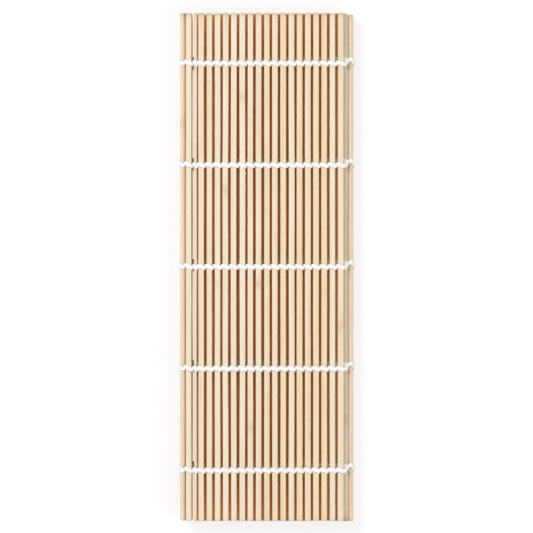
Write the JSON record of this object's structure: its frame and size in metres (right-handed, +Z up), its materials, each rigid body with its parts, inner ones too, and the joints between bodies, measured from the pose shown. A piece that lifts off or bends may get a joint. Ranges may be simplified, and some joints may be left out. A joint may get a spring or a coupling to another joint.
{
  "type": "sushi rolling mat",
  "caption": "Bamboo rolling mat of slender slats twined with rows of cotton cord, folded in three; it unfolds flat and its end panel curls.",
  "frame": {"origin": "centre of the underside of the folded mat, where it lies on a surface", "axes": "+Z up, +Y along the slats, +X across the slats from the left bend to the right bend"},
  "size_m": [0.0832, 0.241, 0.0134],
  "materials": {
    "bamboo": "split and planed bamboo, bare",
    "cotton_cord": "bleached cotton thread, matt"
  },
  "bodies": {
    "bottom_panel": {"bottom_slats": "bamboo", "bottom_lashings": "cotton_cord", "rear_edge_knots": "cotton_cord"},
    "slat_44_body": {"slat_44": "bamboo", "lashing_44": "cotton_cord"},
    "slat_43_body": {"slat_43": "bamboo", "lashing_43": "cotton_cord"},
    "middle_panel": {"middle_slats": "bamboo", "middle_lashings": "cotton_cord"},
    "slat_22_body": {"slat_22": "bamboo", "lashing_22": "cotton_cord"},
    "slat_21_body": {"slat_21": "bamboo", "lashing_21": "cotton_cord"},
    "slat_20_body": {"slat_20": "bamboo", "lashing_20": "cotton_cord"},
    "slat_19_body": {"slat_19": "bamboo", "lashing_19": "cotton_cord"},
    "slat_18_body": {"slat_18": "bamboo", "lashing_18": "cotton_cord"},
    "slat_17_body": {"slat_17": "bamboo", "lashing_17": "cotton_cord"},
    "slat_16_body": {"slat_16": "bamboo", "lashing_16": "cotton_cord"},
    "slat_15_body": {"slat_15": "bamboo", "lashing_15": "cotton_cord"},
    "slat_14_body": {"slat_14": "bamboo", "lashing_14": "cotton_cord"},
    "slat_13_body": {"slat_13": "bamboo", "lashing_13": "cotton_cord", "thread_tail": "cotton_cord"},
    "slat_12_body": {"slat_12": "bamboo", "lashing_12": "cotton_cord"},
    "slat_11_body": {"slat_11": "bamboo", "lashing_11": "cotton_cord"},
    "slat_10_body": {"slat_10": "bamboo", "lashing_10": "cotton_cord"},
    "slat_09_body": {"slat_09": "bamboo", "lashing_09": "cotton_cord"},
    "slat_08_body": {"slat_08": "bamboo", "lashing_08": "cotton_cord"},
    "slat_07_body": {"slat_07": "bamboo", "lashing_07": "cotton_cord"},
    "slat_06_body": {"slat_06": "bamboo", "lashing_06": "cotton_cord"},
    "slat_05_body": {"slat_05": "bamboo", "lashing_05": "cotton_cord"},
    "slat_04_body": {"slat_04": "bamboo", "lashing_04": "cotton_cord"},
    "slat_03_body": {"slat_03": "bamboo", "lashing_03": "cotton_cord"},
    "slat_02_body": {"slat_02": "bamboo", "lashing_02": "cotton_cord"},
    "slat_01_body": {"slat_01": "bamboo", "lashing_01": "cotton_cord", "front_edge_knots": "cotton_cord"}
  },
  "joints": [
    {"name": "right_fold_1", "type": "hinge", "parent": "bottom_panel", "child": "slat_44_body", "pos_m": [0.03882, 0, 0.0017], "axis": [0, 1, 0], "range_deg": [0, 60.96]},
    {"name": "left_fold_1", "type": "hinge", "parent": "middle_panel", "child": "slat_22_body", "pos_m": [-0.03865, 0, 0.00448], "axis": [0, -1, 0], "range_deg": [0, 60.96]},
    {"name": "right_fold_2", "type": "hinge", "parent": "slat_44_body", "child": "slat_43_body", "pos_m": [0.0407, 0, 0.00508], "axis": [0, 1, 0], "range_deg": [0, 60.96]},
    {"name": "right_fold_3", "type": "hinge", "parent": "slat_43_body", "child": "middle_panel", "pos_m": [0.03865, 0, 0.00837], "axis": [0, 1, 0], "range_deg": [0, 60.96]},
    {"name": "left_fold_2", "type": "hinge", "parent": "slat_22_body", "child": "slat_21_body", "pos_m": [-0.0407, 0, 0.00776], "axis": [0, -1, 0], "range_deg": [0, 60.96]},
    {"name": "left_fold_3", "type": "hinge", "parent": "slat_21_body", "child": "slat_20_body", "pos_m": [-0.03882, 0, 0.01115], "axis": [0, -1, 0], "range_deg": [0, 60.96]},
    {"name": "roll_19", "type": "hinge", "parent": "slat_20_body", "child": "slat_19_body", "pos_m": [-0.03495, 0, 0.01115], "axis": [0, -1, 0], "range_deg": [0, 15]},
    {"name": "roll_18", "type": "hinge", "parent": "slat_19_body", "child": "slat_18_body", "pos_m": [-0.03269, 0, 0.01115], "axis": [0, -1, 0], "range_deg": [0, 15]},
    {"name": "roll_17", "type": "hinge", "parent": "slat_18_body", "child": "slat_17_body", "pos_m": [-0.02908, 0, 0.01115], "axis": [0, -1, 0], "range_deg": [0, 15]},
    {"name": "roll_16", "type": "hinge", "parent": "slat_17_body", "child": "slat_16_body", "pos_m": [-0.02521, 0, 0.01115], "axis": [0, -1, 0], "range_deg": [0, 15]},
    {"name": "roll_15", "type": "hinge", "parent": "slat_16_body", "child": "slat_15_body", "pos_m": [-0.02134, 0, 0.01115], "axis": [0, -1, 0], "range_deg": [0, 15]},
    {"name": "roll_14", "type": "hinge", "parent": "slat_15_body", "child": "slat_14_body", "pos_m": [-0.01747, 0, 0.01115], "axis": [0, -1, 0], "range_deg": [0, 15]},
    {"name": "roll_13", "type": "hinge", "parent": "slat_14_body", "child": "slat_13_body", "pos_m": [-0.0136, 0, 0.01115], "axis": [0, -1, 0], "range_deg": [0, 15]},
    {"name": "roll_12", "type": "hinge", "parent": "slat_13_body", "child": "slat_12_body", "pos_m": [-0.00973, 0, 0.01115], "axis": [0, -1, 0], "range_deg": [0, 15]},
    {"name": "roll_11", "type": "hinge", "parent": "slat_12_body", "child": "slat_11_body", "pos_m": [-0.00586, 0, 0.01115], "axis": [0, -1, 0], "range_deg": [0, 15]},
    {"name": "roll_10", "type": "hinge", "parent": "slat_11_body", "child": "slat_10_body", "pos_m": [-0.00199, 0, 0.01115], "axis": [0, -1, 0], "range_deg": [0, 15]},
    {"name": "roll_09", "type": "hinge", "parent": "slat_10_body", "child": "slat_09_body", "pos_m": [0.00188, 0, 0.01115], "axis": [0, -1, 0], "range_deg": [0, 15]},
    {"name": "roll_08", "type": "hinge", "parent": "slat_09_body", "child": "slat_08_body", "pos_m": [0.00575, 0, 0.01115], "axis": [0, -1, 0], "range_deg": [0, 15]},
    {"name": "roll_07", "type": "hinge", "parent": "slat_08_body", "child": "slat_07_body", "pos_m": [0.00962, 0, 0.01115], "axis": [0, -1, 0], "range_deg": [0, 15]},
    {"name": "roll_06", "type": "hinge", "parent": "slat_07_body", "child": "slat_06_body", "pos_m": [0.01349, 0, 0.01115], "axis": [0, -1, 0], "range_deg": [0, 15]},
    {"name": "roll_05", "type": "hinge", "parent": "slat_06_body", "child": "slat_05_body", "pos_m": [0.01736, 0, 0.01115], "axis": [0, -1, 0], "range_deg": [0, 15]},
    {"name": "roll_04", "type": "hinge", "parent": "slat_05_body", "child": "slat_04_body", "pos_m": [0.02123, 0, 0.01115], "axis": [0, -1, 0], "range_deg": [0, 15]},
    {"name": "roll_03", "type": "hinge", "parent": "slat_04_body", "child": "slat_03_body", "pos_m": [0.0251, 0, 0.01115], "axis": [0, -1, 0], "range_deg": [0, 15]},
    {"name": "roll_02", "type": "hinge", "parent": "slat_03_body", "child": "slat_02_body", "pos_m": [0.02897, 0, 0.01115], "axis": [0, -1, 0], "range_deg": [0, 15]},
    {"name": "roll_01", "type": "hinge", "parent": "slat_02_body", "child": "slat_01_body", "pos_m": [0.03284, 0, 0.01115], "axis": [0, -1, 0], "range_deg": [0, 15]}
  ]
}
